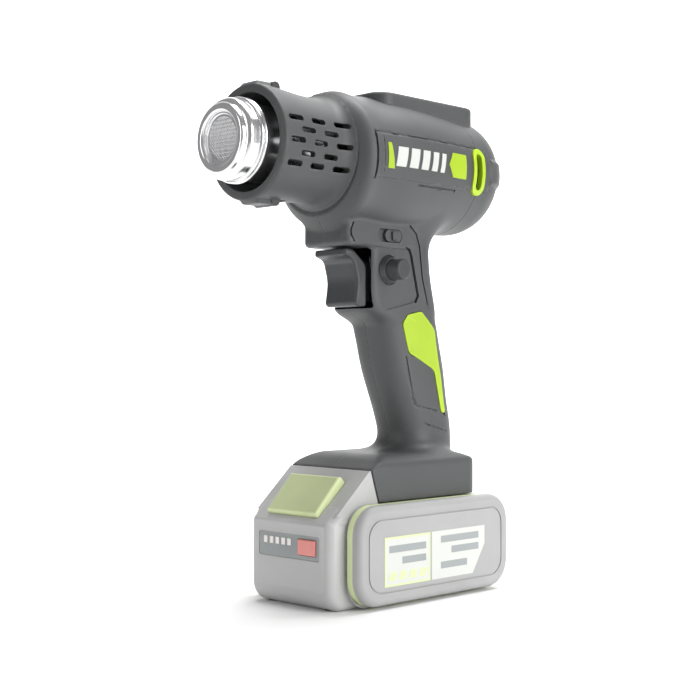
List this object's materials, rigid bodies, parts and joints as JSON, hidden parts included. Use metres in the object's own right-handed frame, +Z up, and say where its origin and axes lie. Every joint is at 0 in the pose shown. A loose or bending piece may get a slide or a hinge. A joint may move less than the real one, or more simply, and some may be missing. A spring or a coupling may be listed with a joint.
{
  "type": "cordless heat gun",
  "caption": "Pistol-grip battery heat gun: vented barrel with a round steel nozzle, trigger handle, flat top rest and a slide-on pack it stands on.",
  "frame": {"origin": "on the flat underside of the battery pack, on the tool's mid-plane", "axes": "+X the way the hot air leaves, +Y the tool's left side, +Z up"},
  "size_m": [0.1787, 0.0762, 0.252],
  "materials": {
    "charcoal_plastic": "fine moulded texture",
    "shroud_plastic": "fine moulded texture",
    "control_plastic": "satin",
    "lime_plastic": "satin",
    "lime_rubber": "soft matte",
    "nozzle_steel": "polished",
    "mesh_steel": "satin",
    "heater_steel": "satin",
    "mica": "flaky",
    "wire_alloy": "satin",
    "bronze": "satin",
    "nylon": "satin",
    "circuit_board": "semi-gloss",
    "fin_aluminium": "satin",
    "lead_sleeve": "satin",
    "spring_steel": "bright",
    "screw_steel": "black zinc",
    "contact_copper": "bright",
    "label_white": "printed plate",
    "pack_plastic": "fine moulded texture, pale as shown",
    "pack_plate": "satin, pale as shown",
    "pack_lime": "satin, pale as shown",
    "gauge_plastic": "semi-gloss",
    "gauge_red": "satin",
    "gauge_lens": "frosted",
    "cell_metal": "satin"
  },
  "bodies": {
    "tool": {"housing_left": "charcoal_plastic", "housing_right": "charcoal_plastic", "rear_cap": "charcoal_plastic", "top_plate": "charcoal_plastic", "front_shroud": "shroud_plastic", "cross_bars": "control_plastic", "lock_collar": "control_plastic", "bezel_left": "lime_plastic", "bezel_right": "lime_plastic", "grip_insert_left": "lime_rubber", "grip_insert_right": "lime_rubber", "nozzle": "nozzle_steel", "nozzle_mesh": "mesh_steel", "heater_tube": "heater_steel", "motor_can": "heater_steel", "mica_sleeve": "mica", "heater_former": "mica", "heating_coil": "wire_alloy", "motor_magnets": "wire_alloy", "motor_bearings": "bronze", "air_duct": "nylon", "motor_mount": "nylon", "switch_body": "nylon", "terminal_block": "nylon", "control_board": "circuit_board", "heat_sink": "fin_aluminium", "battery_leads": "lead_sleeve", "trigger_spring": "spring_steel", "lock_spring": "spring_steel", "housing_screws": "screw_steel", "terminal_blades": "contact_copper", "label_plate_left": "label_white", "label_plate_right": "label_white"},
    "fan": {"fan_impeller": "nylon", "motor_shaft": "heater_steel", "motor_rotor": "wire_alloy"},
    "trigger": {"trigger": "control_plastic"},
    "lock_button": {"lock_button": "control_plastic"},
    "mode_slider": {"mode_slider": "control_plastic"},
    "battery": {"pack_lower_shell": "pack_plastic", "pack_upper_shell": "pack_plastic", "pack_trim_left": "pack_lime", "pack_trim_right": "pack_lime", "bumper_left": "pack_plate", "bumper_right": "pack_plate", "side_label_left": "label_white", "side_label_right": "label_white", "latch_spring": "spring_steel", "gauge_panel": "gauge_plastic", "gauge_lights": "gauge_lens", "cells": "cell_metal", "cell_holder_left": "nylon", "cell_holder_right": "nylon", "cell_links": "contact_copper", "pack_board": "circuit_board", "pack_terminals": "contact_copper", "pack_screws": "screw_steel"},
    "latch": {"latch_button": "pack_lime"},
    "gauge_button": {"gauge_button": "gauge_red"}
  },
  "joints": [
    {"name": "fan_spin", "type": "hinge", "parent": "tool", "child": "fan", "pos_m": [0, 0, 0.22], "axis": [1, 0, 0], "continuous": true},
    {"name": "trigger_pull", "type": "slide", "parent": "tool", "child": "trigger", "axis": [-1, 0, 0], "range_m": [0, 0.006], "stiffness_N_per_m": 800, "springref_m": -0.003, "deforming": ["trigger_spring"]},
    {"name": "lock_press", "type": "slide", "parent": "tool", "child": "lock_button", "axis": [0, -1, 0], "range_m": [0, 0.0026], "stiffness_N_per_m": 500, "springref_m": -0.003, "deforming": ["lock_spring"]},
    {"name": "mode_slide", "type": "slide", "parent": "tool", "child": "mode_slider", "axis": [1, 0, 0], "range_m": [0, 0.0054]},
    {"name": "battery_slide", "type": "slide", "parent": "tool", "child": "battery", "axis": [1, 0, 0], "range_m": [0, 0.1]},
    {"name": "latch_press", "type": "slide", "parent": "battery", "child": "latch", "axis": [-0.6676, 0, -0.7445], "range_m": [0, 0.004], "stiffness_N_per_m": 1500, "springref_m": -0.002, "deforming": ["latch_spring"]},
    {"name": "gauge_press", "type": "slide", "parent": "battery", "child": "gauge_button", "axis": [-1, 0, 0], "range_m": [0, 0.0012], "stiffness_N_per_m": 1200, "springref_m": -0.001}
  ]
}
